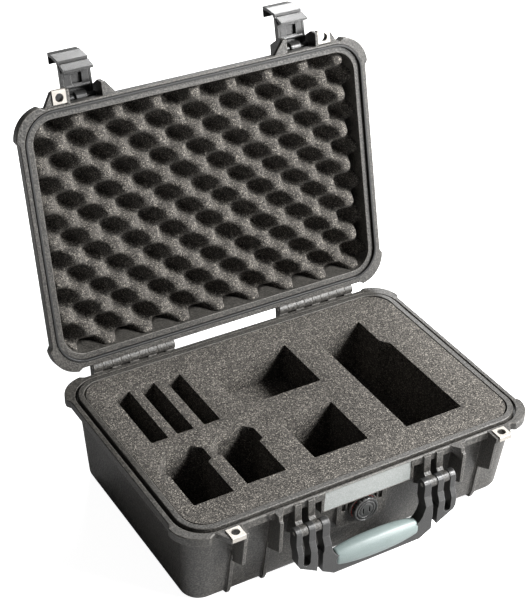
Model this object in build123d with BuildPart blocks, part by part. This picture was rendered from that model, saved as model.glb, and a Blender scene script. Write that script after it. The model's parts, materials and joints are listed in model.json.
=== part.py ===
from build123d import *
import os

# Carry case with foam fittings: tub, hinged lid, two latches, swinging handle and screw-down purge valve.
# Millimetres. Origin on the ground under the centre of the tub, +X right, +Y to the hinge side, +Z up.
# The lid group is drawn shut and then swung back to its open stop, where it is stored.

# ---- overall sizes ----------------------------------------------------------
mouth_width = 425.0             # clear opening at the lip
mouth_depth = 284.0
mouth_radius = 27.0
wall = 5.0                      # tub wall at the lip
rim_half_width = mouth_width / 2 + 16.0     # outer rim, centre to side
rim_front = mouth_depth / 2 + 13.0          # outer rim, centre to front
rim_back = mouth_depth / 2 + 16.5           # outer rim, centre to back
corner_bulge = 3.5              # the rim stands proud at its four corners
rim_corner_radius = 37.0
runner_height = 2.0             # runners under the tub
seam_height = 115.0             # where lid and tub meet
seam_gap = 0.6                  # between the two rims
lip_rise = 2.0                  # inner lip above the seam
base_rim_height = 9.7
lid_rim_height = 11.0
lid_top_height = seam_height + 48.5
open_angle = 104.0              # lid, shut to open stop

# ---- tub --------------------------------------------------------------------
tub_floor_width = mouth_width - 2.0
tub_floor_depth = mouth_depth - 17.0
tub_corner_radius = 27.0
tub_floor_radius = 23.0
floor_thickness = 4.0
tub_edge_round = 9.0
tub_rim_z = seam_height - seam_gap / 2 - base_rim_height
tub_rim_top = seam_height - seam_gap / 2
lip_top = seam_height + lip_rise
cavity_floor_width = tub_floor_width - 10.0
cavity_floor_depth = tub_floor_depth - 10.0
cavity_floor_radius = 22.0
cavity_floor_z = runner_height + floor_thickness
groove_offset = 8.6             # seal line outside the mouth edge
groove_width = 3.8
groove_depth = 5.0

# ---- lid --------------------------------------------------------------------
lid_rim_z = seam_height + seam_gap / 2
lid_body_z = lid_rim_z + lid_rim_height
lid_wall = 4.6
lid_draft = 5.5                 # the lid's sides lean in over its height
lid_edge_round = 10.0
lid_mouth_z = lip_top + 0.6
lid_cavity_top = lid_top_height - 4.5
seal_width = groove_width - 0.8
seal_drop = 0.6                 # how far the seal stands into the tub's groove

# ---- foam -------------------------------------------------------------------
foam_gap = 0.8
foam_top = lip_top - 0.6
pocket_layer_z = 40.3
pad_clearance = 0.3
lid_foam_face = seam_height + 6.0
corner_ease = 2.5

# ---- hinge ------------------------------------------------------------------
knuckle_radius = 6.5
knuckle_pitch = 12.0
knuckle_gap = 0.5
knuckles_per_hinge = 9
hinge_y = rim_back + knuckle_radius - 1.5
hinge_z = seam_height + knuckle_radius - 1.0
hinge_centre_x = mouth_width / 2 - 84.5
hinge_pin_radius = 2.2
running_clearance = 0.05
swing_clearance = 0.8

# ---- latch ------------------------------------------------------------------
latch_width = 37.0
bay_width = latch_width + 3.0
bay_centre_x = mouth_width / 2 - 71.0
fin_thickness = 4.0
latch_pivot_y = -rim_front
latch_pivot_z = seam_height + 21.0
latch_barrel_radius = 3.9
latch_boss_radius = 6.6
latch_boss_width = 13.0
latch_pin_radius = 2.0
lever_rib = 3.0
lever_inner_y = -rim_front - 2.4
lever_cover_y = -rim_front - 6.7
lever_outer_y = -rim_front - 10.0
lever_foot_z = seam_height - 22.0
tab_reach = 27.0
tab_thickness = 3.2
tab_lip = 12.0
hook_pivot_y = -rim_front - 4.1
hook_pivot_z = seam_height + 9.0
hook_barrel_radius = 2.2
hook_pin_radius = 1.2
hook_plate = 3.0
hook_play = 0.4
hook_catch_gap = 0.4            # ledge below the tub's rim
fin_front_y = -rim_front - 17.0

# ---- padlock lugs -----------------------------------------------------------
lug_hole_x = bay_centre_x + bay_width / 2 + 12.0
lug_hole_y = -rim_front - 8.8
lug_hole_radius = 5.0
lug_tip_x = lug_hole_x + 19.5
lug_front_y = -rim_front - 16.0
plate_thickness = 1.5
plate_width = 16.5
plate_lip = 6.0
lug_thickness = 6.5
base_plate_top = seam_height + 1.3
lid_plate_face = seam_height + 2.1

# ---- handle -----------------------------------------------------------------
handle_pivot_y = -rim_front - 13.5
handle_pivot_z = seam_height - 28.5
handle_barrel_radius = 7.0
handle_half_width = 104.5
arm_bounds = ((62.5, 71.5), (80.5, 88.5), (97.5, handle_half_width))
lug_clearance = 0.3
handle_pin_radius = 2.5
handle_bottom_z = handle_pivot_z - 70.5
handle_jog = 5.0
handle_thickness = 13.5
outer_slot_z = handle_pivot_z - 41.5
inner_slot_z = handle_pivot_z - 33.5
slot_top_z = handle_pivot_z + 17.5
groove_low_z = handle_pivot_z - 58.5
grip_half_length = 54.0
grip_centre_z = handle_pivot_z - 51.5
grip_middle = (11.5, 14.2)      # half depth, half height
grip_end = (7.0, 8.5)
grip_clearance = 0.3
core_width = 7.0
core_height = 12.0

# ---- name panel and purge valve --------------------------------------------
panel_face_y = -rim_front + 1.0
panel_half_width = 56.5
panel_low_z = seam_height - 28.0
panel_high_z = seam_height - 1.8
panel_thickness = 1.2
valve_z = seam_height - 50.0
valve_face_y = -rim_front + 1.0
valve_radius = 16.0
valve_boss_face_y = -rim_front + 10.4
valve_stem_radius = 7.5
valve_ring_radius = 14.3
valve_ring_wire = 1.8
valve_collar_radius = 18.2
valve_recess_z = valve_z + 6.5

hinge_line = Axis((0, hinge_y, hinge_z), (1, 0, 0))
lid_open_place = Location((0, hinge_y, hinge_z)) * Location((0, 0, 0), (-open_angle, 0, 0)) * Location((0, -hinge_y, -hinge_z))
latch_turn = Location((0, latch_pivot_y, latch_pivot_z)) * Location((0, 0, 0), (-90, 0, 0)) * Location((0, -latch_pivot_y, -latch_pivot_z))
latch_open_place = lid_open_place * latch_turn
tub_top_width = mouth_width + 2 * wall
tub_top_depth = mouth_depth + 2 * wall
strip_x = (bay_centre_x - 21.5, bay_centre_x + 23.5)     # wall ribs, runners and lid strips
fin_root_z = seam_height - 61.0             # where the tub's fins leave the wall
lug_bounds = [(arm_bounds[i][1] + lug_clearance, arm_bounds[i + 1][0] - lug_clearance) for i in (0, 1)]
os.makedirs("parts", exist_ok=True)


def save(part, name):
    """Label one piece and write its file."""
    part.label = name
    export_step(part, f"parts/{name}.step")


def between(low, high, low_z, high_z, z):
    """A drafted size at height z."""
    return low + (high - low) * (z - low_z) / (high_z - low_z)


def tub_wall_y(z):
    """How far the tub's front wall stands out at height z."""
    return between(tub_floor_depth, tub_top_depth, runner_height, tub_rim_z, z) / 2


def lid_wall_y(z):
    """How far the lid's front wall stands out at height z."""
    return between(tub_top_depth, tub_top_depth - 2 * lid_draft, lid_body_z, lid_top_height, z) / 2


def rim_outline():
    """Outer edge of either rim: straight sides between proud corners."""
    middle_y = (rim_back - rim_front) / 2
    half_depth = (rim_back + rim_front) / 2
    run_x = rim_half_width - 34.0
    run_y = half_depth - 36.0
    step = corner_bulge + 2.0
    with Locations((0, middle_y)):
        RectangleRounded(2 * (rim_half_width + corner_bulge), 2 * (half_depth + corner_bulge), rim_corner_radius)
    for side in (-1, 1):
        Polygon(
            (side * rim_half_width, middle_y - run_y),
            (side * (rim_half_width + step), middle_y - run_y - 1.6 * step),
            (side * (rim_half_width + step), middle_y + run_y + 1.6 * step),
            (side * rim_half_width, middle_y + run_y),
            align=None,
            mode=Mode.SUBTRACT,
        )
        edge_y = middle_y + side * half_depth
        Polygon(
            (-run_x, edge_y),
            (-run_x - 1.6 * step, edge_y + side * step),
            (run_x + 1.6 * step, edge_y + side * step),
            (run_x, edge_y),
            align=None,
            mode=Mode.SUBTRACT,
        )


def mouth_ring(outside, mode=Mode.ADD):
    """Rounded rectangle lying a set distance outside the mouth."""
    RectangleRounded(mouth_width + 2 * outside, mouth_depth + 2 * outside, mouth_radius + outside, mode=mode)


def slab(x, thickness, points, mode=Mode.ADD):
    """A plate standing across X, centred on x, with its outline given as (y, z) points."""
    with BuildSketch(Plane.YZ.offset(x - thickness / 2)) as outline:
        Polygon(*points, align=None)
    extrude(outline.sketch, amount=thickness, mode=mode)


def barrel(x, length, y, z, radius, mode=Mode.ADD):
    """A round bar along X, centred on x."""
    with BuildSketch(Plane.YZ.offset(x - length / 2)) as outline:
        with Locations((y, z)):
            Circle(radius)
    extrude(outline.sketch, amount=length, mode=mode)


def hinge_slots(centre):
    """Knuckle positions along one hinge: (x, belongs to the tub)."""
    first = centre - knuckle_pitch * (knuckles_per_hinge - 1) / 2
    return [(first + knuckle_pitch * i, i % 2 == 0) for i in range(knuckles_per_hinge)]


# ============================== TUB =========================================
with BuildPart() as base_shell:
    with BuildSketch(Plane.XY.offset(runner_height)):
        RectangleRounded(tub_floor_width, tub_floor_depth, tub_floor_radius)
    with BuildSketch(Plane.XY.offset(tub_rim_z)):
        RectangleRounded(tub_top_width, tub_top_depth, tub_corner_radius)
    loft()
    fillet(faces().sort_by(Axis.Z)[0].edges(), tub_edge_round)
    with BuildSketch(Plane.XY.offset(tub_rim_z)):
        rim_outline()
    extrude(amount=base_rim_height)
    chamfer(faces().sort_by(Axis.Z)[-1].edges(), 0.9)
    with BuildSketch(Plane.XY.offset(tub_rim_z)):
        mouth_ring(groove_offset - groove_width / 2)
    extrude(amount=lip_top - tub_rim_z)
    fillet(faces().sort_by(Axis.Z)[-1].edges(), 1.2)
    # runners under the floor, tied by one cross bar, all in one face
    with BuildSketch(Plane.XY):
        with Locations(*[(side * x, 0) for side in (-1, 1) for x in strip_x]):
            Rectangle(5, tub_floor_depth - 18)
        Rectangle(2 * strip_x[1], 5)
    extrude(amount=runner_height + 0.5)
    for side in (-1, 1):
        # ribs down the front and back walls under the fins
        for x in strip_x:
            for face in (-1, 1):
                slab(
                    side * x,
                    4.0,
                    [
                        (face * (tub_wall_y(70) - 1), 70),
                        (face * (tub_wall_y(64) + 3.2), 64),
                        (face * (tub_wall_y(10) + 3.2), 10),
                        (face * (tub_wall_y(5) + 0.5), 2),
                        (face * (tub_wall_y(5) - 6), 0),
                        (face * (tub_wall_y(5) - 12), 0),
                        (face * (tub_wall_y(5) - 12), 4),
                        (face * (tub_wall_y(10) - 3), 10),
                    ],
                )
        # fin under the padlock lug
        slab(
            side * (bay_centre_x + bay_width / 2 + fin_thickness / 2),
            fin_thickness,
            [
                (-tub_wall_y(fin_root_z) + 3, fin_root_z),
                (-tub_wall_y(fin_root_z), fin_root_z),
                (-rim_front - 9.5, fin_root_z + 12),
                (lug_front_y + 2, seam_height - 9),
                (lug_front_y + 2, seam_height - 3),
                (-tub_wall_y(seam_height - 15), seam_height - 3),
            ],
        )
        # fin on the other side of the latch bay, with its two flared braces
        slab(
            side * (bay_centre_x - bay_width / 2 - fin_thickness / 2),
            fin_thickness,
            [
                (-tub_wall_y(fin_root_z) + 3, fin_root_z),
                (-tub_wall_y(fin_root_z), fin_root_z),
                (-rim_front - 12.5, fin_root_z + 13),
                (-rim_front - 13.5, seam_height - 7),
                (-rim_front + 1, tub_rim_top),
                (-tub_wall_y(seam_height - 15), tub_rim_top),
            ],
        )
        brace_x = side * (bay_centre_x - bay_width / 2 - fin_thickness / 2)
        with BuildSketch(Plane.XY.offset(tub_rim_top)):
            Polygon(
                (brace_x - 12, -rim_front + 2),
                (brace_x + 12, -rim_front + 2),
                (brace_x + 3, -rim_front - 9.5),
                (brace_x - 3, -rim_front - 9.5),
                align=None,
            )
        with BuildSketch(Plane.XY.offset(seam_height - 17)):
            Polygon(
                (brace_x - 2.2, -rim_front + 6),
                (brace_x + 2.2, -rim_front + 6),
                (brace_x + 2, -rim_front - 13),
                (brace_x - 2, -rim_front - 13),
                align=None,
            )
        loft()
        # the latch bay stays clear for the lever and hook
        slab(
            side * bay_centre_x,
            bay_width,
            [
                (-rim_front - 45, seam_height + 1),
                (-rim_front - hook_play - 1.4, seam_height + 1),
                (-rim_front - hook_play - 1.4, tub_rim_z),
                (-tub_wall_y(seam_height - 15) - 0.9, tub_rim_z),
                (-tub_wall_y(seam_height - 15) - 0.9, seam_height - 43),
                (-rim_front - 45, seam_height - 43),
            ],
            Mode.SUBTRACT,
        )
        # padlock lug
        with BuildSketch(Plane.XY.offset(base_plate_top - plate_thickness - lug_thickness)):
            Polygon(
                (side * lug_tip_x, -rim_front + 2),
                (side * (lug_hole_x + plate_width / 2 + 0.6), lug_front_y),
                (side * (bay_centre_x + bay_width / 2), lug_front_y),
                (side * (bay_centre_x + bay_width / 2), -rim_front + 2),
                align=None,
            )
        extrude(amount=lug_thickness)
        with BuildSketch(Plane.XY.offset(base_plate_top - 20)):
            with Locations((side * lug_hole_x, lug_hole_y)):
                Circle(lug_hole_radius)
        extrude(amount=20, mode=Mode.SUBTRACT)
        # lugs that carry the handle, running up under the rim
        for near, far in lug_bounds:
            x = (near + far) / 2
            slab(
                side * x,
                far - near,
                [
                    (-tub_wall_y(seam_height - 49) + 2.5, seam_height - 49),
                    (-tub_wall_y(seam_height - 49), seam_height - 49),
                    (handle_pivot_y + 2.5, handle_pivot_z - 5.5),
                    (handle_pivot_y + 1.0, handle_pivot_z + 4.2),
                    (-rim_front - 6.5, handle_pivot_z + 3.6),
                    (-rim_front - 3.8, handle_pivot_z + 6.5),
                    (-rim_front - 2.6, tub_rim_top - 0.8),
                    (-rim_front + 2, tub_rim_top),
                    (-tub_wall_y(seam_height - 15) + 2.5, seam_height - 15),
                ],
            )
            barrel(side * x, far - near, handle_pivot_y, handle_pivot_z, handle_barrel_radius - 0.9)
            barrel(side * x, far - near + 2, handle_pivot_y, handle_pivot_z, handle_pin_radius + running_clearance, Mode.SUBTRACT)
        # knuckles of the hinge
        for x, on_tub in hinge_slots(side * hinge_centre_x):
            if on_tub:
                barrel(x, knuckle_pitch - knuckle_gap, hinge_y, hinge_z, knuckle_radius)
                slab(
                    x,
                    knuckle_pitch - knuckle_gap,
                    [
                        (tub_wall_y(seam_height - 31) - 2.5, seam_height - 31),
                        (tub_wall_y(seam_height - 31), seam_height - 31),
                        (hinge_y + 4.5, seam_height - 9),
                        (hinge_y + knuckle_radius, hinge_z - 1),
                        (hinge_y - 4, hinge_z),
                        (rim_back + 0.4, tub_rim_top),
                        (rim_back - 5, tub_rim_top),
                        (tub_wall_y(seam_height - 15) - 2.5, seam_height - 15),
                    ],
                )
                barrel(x, knuckle_pitch, hinge_y, hinge_z, hinge_pin_radius + running_clearance, Mode.SUBTRACT)
        # ledge that closes the gap under the knuckles
        slab(
            side * hinge_centre_x,
            knuckle_pitch * knuckles_per_hinge - knuckle_gap,
            [
                (rim_back - 1.5, tub_rim_z + 0.5),
                (hinge_y + 1, tub_rim_z + 2.5),
                (hinge_y + 4.5, tub_rim_z + 5.5),
                (hinge_y + 4.5, hinge_z - knuckle_radius - swing_clearance),
                (rim_back - 1.5, hinge_z - knuckle_radius - swing_clearance),
            ],
        )
    # pad behind the name panel and purge valve
    slab(
        0,
        2 * panel_half_width + 8,
        [
            (-tub_wall_y(seam_height - 31) + 2.5, seam_height - 31),
            (-tub_wall_y(seam_height - 31), seam_height - 31),
            (panel_face_y, panel_low_z - 1.2),
            (panel_face_y, tub_rim_top),
            (panel_face_y + 4, tub_rim_top - 6),
            (-tub_wall_y(seam_height - 15) + 2.5, seam_height - 15),
        ],
    )
    with BuildSketch(Plane.XZ.offset(-panel_face_y - panel_thickness - 0.1)):
        with Locations((0, (panel_low_z + panel_high_z) / 2)):
            Rectangle(2 * panel_half_width + 0.4, panel_high_z - panel_low_z + 0.4)
    extrude(amount=12, mode=Mode.SUBTRACT)
    with BuildSketch(Plane.XZ.offset(rim_front - 19)):
        with Locations((0, valve_z + 1)):
            RectangleRounded(66, 44, 7)
    extrude(amount=-valve_boss_face_y - rim_front + 19)
    with BuildSketch(Plane.XZ.offset(-valve_boss_face_y - 3.4)):
        with Locations((0, valve_recess_z)):
            Rectangle(54, 11)
        with Locations((-20.5, valve_recess_z), (20.5, valve_recess_z)):
            Rectangle(2.2, 11, mode=Mode.SUBTRACT)
    extrude(amount=12, mode=Mode.SUBTRACT)
    # collar round the valve's ring, open at its lower left
    with BuildSketch(Plane.XZ.offset(-valve_boss_face_y - 4)):
        with Locations((0, valve_z)):
            Circle(valve_collar_radius)
            Circle(valve_ring_radius + valve_ring_wire + 0.3, mode=Mode.SUBTRACT)
            Polygon((0, 0), (-30, -14), (-30, -30), (-12, -30), align=None, mode=Mode.SUBTRACT)
    extrude(amount=7.3)
    with BuildSketch(Plane.XZ.offset(-valve_boss_face_y)):
        with Locations((0, valve_z)):
            Circle(valve_stem_radius + 0.35)
    extrude(amount=-6.2, mode=Mode.SUBTRACT)
    with BuildSketch(Plane.XZ.offset(rim_front - 25)):
        with Locations((0, valve_z)):
            Circle(1.5)
    extrude(amount=20, mode=Mode.SUBTRACT)
    # groove that takes the lid's seal
    with BuildSketch(Plane.XY.offset(tub_rim_top - groove_depth)):
        mouth_ring(groove_offset + groove_width / 2)
        mouth_ring(groove_offset - groove_width / 2, Mode.SUBTRACT)
    extrude(amount=groove_depth + lip_rise + 1, mode=Mode.SUBTRACT)
    # cavity
    with BuildSketch(Plane.XY.offset(cavity_floor_z)):
        RectangleRounded(cavity_floor_width, cavity_floor_depth, cavity_floor_radius)
    with BuildSketch(Plane.XY.offset(lip_top)):
        RectangleRounded(mouth_width, mouth_depth, mouth_radius)
    loft(mode=Mode.SUBTRACT)
save(base_shell.part, "base_shell")


def foam_block(low_z, high_z):
    """Foam that follows the drafted cavity."""
    ends = []
    for z in (low_z, high_z):
        with BuildSketch(Plane.XY.offset(z)) as end:
            RectangleRounded(
                between(cavity_floor_width, mouth_width, cavity_floor_z, lip_top, z) - 2 * foam_gap,
                between(cavity_floor_depth, mouth_depth, cavity_floor_z, lip_top, z) - 2 * foam_gap,
                between(cavity_floor_radius, mouth_radius, cavity_floor_z, lip_top, z) + corner_ease,
            )
        ends.append(end.sketch)
    loft(ends)


with BuildPart() as base_foam_pad:
    foam_block(cavity_floor_z + pad_clearance, pocket_layer_z - pad_clearance)
save(base_foam_pad.part, "base_foam_pad")

# pockets cut down through the top layer
with BuildPart() as base_foam:
    foam_block(pocket_layer_z, foam_top)
    # three slots
    with BuildSketch(Plane.XY.offset(pocket_layer_z)):
        with Locations((-172.5, 57), (-139.5, 58), (-105, 58.5)):
            RectangleRounded(21, 98, 2)
        # two eyepiece pockets: a narrow barrel end towards the front, a wide end behind
        with Locations((0, 0), (67.5, 3.5)):
            Polygon(
                (-192, -107),
                (-143, -107),
                (-143, -50),
                (-137, -46),
                (-137, -26),
                (-147, -16),
                (-178, -16),
                (-198, -34),
                (-198, -46),
                (-192, -50),
                align=None,
            )
        # cable pocket
        with Locations((-1.5, -62.5)):
            RectangleRounded(71, 77, 2)
        # long pocket for a telephoto lens, stepped at its narrow end
        Polygon((84, -104), (161, -104), (161, 40), (152, 52), (152, 98), (84, 98), align=None)
    extrude(amount=foam_top - pocket_layer_z, mode=Mode.SUBTRACT)
    # bowl pocket, shallower
    with BuildSketch(Plane.XY.offset(foam_top)):
        with Locations((-8.5, 58.5)):
            RectangleRounded(108, 82, 2)
    extrude(amount=-46, mode=Mode.SUBTRACT)
save(base_foam.part, "base_foam")

with BuildPart() as nameplate:
    with BuildSketch(Plane.XZ.offset(-panel_face_y - panel_thickness)):
        with Locations((0, (panel_low_z + panel_high_z) / 2)):
            RectangleRounded(2 * panel_half_width, panel_high_z - panel_low_z, 1.2)
    extrude(amount=panel_thickness - 0.2)
save(nameplate.part, "nameplate")

for side, word in ((-1, "left"), (1, "right")):
    with BuildPart() as padlock_plate:
        with BuildSketch(Plane.XY.offset(base_plate_top - plate_thickness)):
            with Locations((side * lug_hole_x, lug_hole_y - 0.1)):
                Rectangle(plate_width, 2 * (lug_hole_y - lug_front_y) + 0.2)
        extrude(amount=plate_thickness)
        with BuildSketch(Plane.XY.offset(base_plate_top - plate_lip)):
            with Locations((side * lug_hole_x, lug_front_y - plate_thickness / 2 - 0.15)):
                Rectangle(plate_width, plate_thickness)
        extrude(amount=plate_lip)
        fillet(edges().filter_by(Axis.X).sort_by(Axis.Y)[0:2].sort_by(Axis.Z)[-1], 1.0)
        with BuildSketch(Plane.XY.offset(base_plate_top)):
            with Locations((side * lug_hole_x, lug_hole_y)):
                Circle(lug_hole_radius)
        extrude(amount=-5, mode=Mode.SUBTRACT)
    save(padlock_plate.part, f"padlock_plate_{word}")

    with BuildPart() as hinge_pin:
        barrel(side * hinge_centre_x, knuckle_pitch * knuckles_per_hinge - 1.0, hinge_y, hinge_z, hinge_pin_radius)
        chamfer(edges().filter_by(GeomType.CIRCLE), 0.4)
    save(hinge_pin.part, f"hinge_pin_{word}")

    with BuildPart() as handle_pin:
        barrel(side * (arm_bounds[0][0] + handle_half_width) / 2, handle_half_width - arm_bounds[0][0] - 1.0, handle_pivot_y, handle_pivot_z, handle_pin_radius)
        chamfer(edges().filter_by(GeomType.CIRCLE), 0.4)
    save(handle_pin.part, f"handle_pin_{word}")

# ============================ VALVE =========================================
with BuildPart() as valve_knob:
    with BuildSketch(Plane.XZ.offset(-valve_face_y - 5.8)):
        with Locations((0, valve_z)):
            Circle(valve_radius)
    extrude(amount=5.8)
    fillet(edges().filter_by(GeomType.CIRCLE).sort_by(Axis.Y)[0], 1.4)
    with BuildSketch(Plane.XZ.offset(-valve_face_y - 1.2)):
        with Locations((0, valve_z)):
            Circle(13.4)
            Circle(11.8, mode=Mode.SUBTRACT)
            Circle(9.6)
            Circle(8.4, mode=Mode.SUBTRACT)
    extrude(amount=2, mode=Mode.SUBTRACT)
    with BuildSketch(Plane.XZ.offset(-valve_face_y - 2.2)):
        with Locations((-4.2, valve_z), (4.2, valve_z)):
            SlotOverall(8, 1.8, 90)
    extrude(amount=3, mode=Mode.SUBTRACT)
    # scalloped grip edge
    with BuildSketch(Plane.XZ.offset(-valve_face_y - 6)):
        with Locations((0, valve_z)):
            with PolarLocations(valve_radius + 1.2, 16):
                Circle(1.9)
    extrude(amount=7, mode=Mode.SUBTRACT)
    with BuildSketch(Plane.XZ.offset(-valve_face_y - 5.8)):
        with Locations((0, valve_z)):
            Circle(valve_stem_radius)
    extrude(amount=-8.4)
save(valve_knob.part, "valve_knob")

with BuildPart() as valve_oring:
    ring_y = (valve_boss_face_y + valve_face_y + 5.8) / 2
    with BuildSketch(Plane.YZ):
        with Locations((ring_y, valve_z + valve_ring_radius)):
            Ellipse(1.55, valve_ring_wire)
    revolve(axis=Axis((0, 0, valve_z), (0, 1, 0)))
save(valve_oring.part, "valve_oring")

# =========================== HANDLE =========================================
arm_front_y = handle_pivot_y - handle_barrel_radius
arm_back_y = arm_front_y + handle_thickness
grip_y = handle_pivot_y - handle_jog


def grip_body(extra):
    """The grip's outer shape, fuller in the middle, grown all round by extra."""
    ends = []
    for x, (half_depth, half_height) in (
        (-grip_half_length - extra, grip_end),
        (0, grip_middle),
        (grip_half_length + extra, grip_end),
    ):
        with BuildSketch(Plane.YZ.offset(x)) as end:
            with Locations((grip_y, grip_centre_z)):
                Ellipse(half_depth + extra, half_height + extra)
        ends.append(end.sketch)
    loft(ends)


def core_cut(extra):
    """Takes the handle's core and web out of the grip."""
    with BuildSketch(Plane.YZ.offset(-grip_half_length - 2)) as section:
        with Locations((grip_y, grip_centre_z)):
            Rectangle(core_width + extra, core_height + extra)
        with Locations((grip_y, grip_centre_z - 10)):
            Rectangle(core_width - 2 + extra, 20)
    extrude(section.sketch, amount=2 * grip_half_length + 4, mode=Mode.SUBTRACT)


with BuildPart() as grip_space:
    grip_body(grip_clearance)
    core_cut(0)

with BuildPart() as handle_frame:
    with BuildSketch(Plane.YZ.offset(-handle_half_width)):
        Polygon(
            (arm_front_y, handle_pivot_z),
            (arm_front_y, handle_pivot_z - 13.5),
            (arm_front_y - handle_jog, handle_pivot_z - 23.5),
            (arm_front_y - handle_jog, handle_bottom_z + 3),
            (arm_front_y - handle_jog + 3, handle_bottom_z),
            (arm_back_y - handle_jog - 3, handle_bottom_z),
            (arm_back_y - handle_jog, handle_bottom_z + 3),
            (arm_back_y - handle_jog, handle_pivot_z - 27.5),
            (arm_back_y, handle_pivot_z - 17.5),
            (arm_back_y, handle_pivot_z),
            align=None,
        )
        with Locations((handle_pivot_y, handle_pivot_z)):
            Circle(handle_barrel_radius)
    extrude(amount=2 * handle_half_width)
    half_outline = [
        (handle_half_width, slot_top_z),
        (handle_half_width, outer_slot_z + 5),
        (handle_half_width - 2.5, outer_slot_z),
        (68, handle_bottom_z + 9.5),
        (52, handle_bottom_z),
    ]
    half_mouth = [
        (50, grip_centre_z + core_height / 2),
        (55.5, grip_centre_z + grip_end[1] + 1.2),
        (59.5, inner_slot_z - 2),
        (arm_bounds[0][0], inner_slot_z + 9),
        (arm_bounds[0][0], slot_top_z),
    ]
    with BuildSketch(Plane.XZ.offset(rim_front - 5)):
        Polygon(
            *half_outline,
            *[(-x, z) for x, z in reversed(half_outline)],
            *[(-x, z) for x, z in reversed(half_mouth)],
            *half_mouth,
            align=None,
        )
    extrude(amount=50, mode=Mode.INTERSECT)
    fillet(edges().filter_by(Axis.Y).filter_by_position(Axis.X, 58, 61).group_by(Axis.Z)[-1], 6)
    fillet(edges().filter_by(Axis.Y).filter_by_position(Axis.X, -61, -58).group_by(Axis.Z)[-1], 6)
    for side in (-1, 1):
        for low_z, (near, far) in zip((inner_slot_z, outer_slot_z), lug_bounds):
            with BuildSketch(Plane.XZ.offset(rim_front)):
                with Locations((side * (near + far) / 2, (low_z + slot_top_z) / 2)):
                    SlotOverall(slot_top_z - low_z, far - near + 2 * lug_clearance, 90)
            extrude(amount=40, mode=Mode.SUBTRACT)
        # groove down the face below the inner slot
        near, far = lug_bounds[0]
        with BuildSketch(Plane.XZ.offset(-arm_front_y + handle_jog - 8)):
            with Locations((side * (near + far) / 2, (groove_low_z + inner_slot_z + 6) / 2)):
                Rectangle(far - near - 1.5, inner_slot_z + 6 - groove_low_z)
        extrude(amount=20, mode=Mode.SUBTRACT)
    add(grip_space.part, mode=Mode.SUBTRACT)
    barrel(0, 2 * handle_half_width + 2, handle_pivot_y, handle_pivot_z, handle_pin_radius + running_clearance, Mode.SUBTRACT)
save(handle_frame.part, "handle_frame")

with BuildPart() as handle_grip:
    grip_body(0)
    core_cut(0.2)
save(handle_grip.part, "handle_grip")

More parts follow.
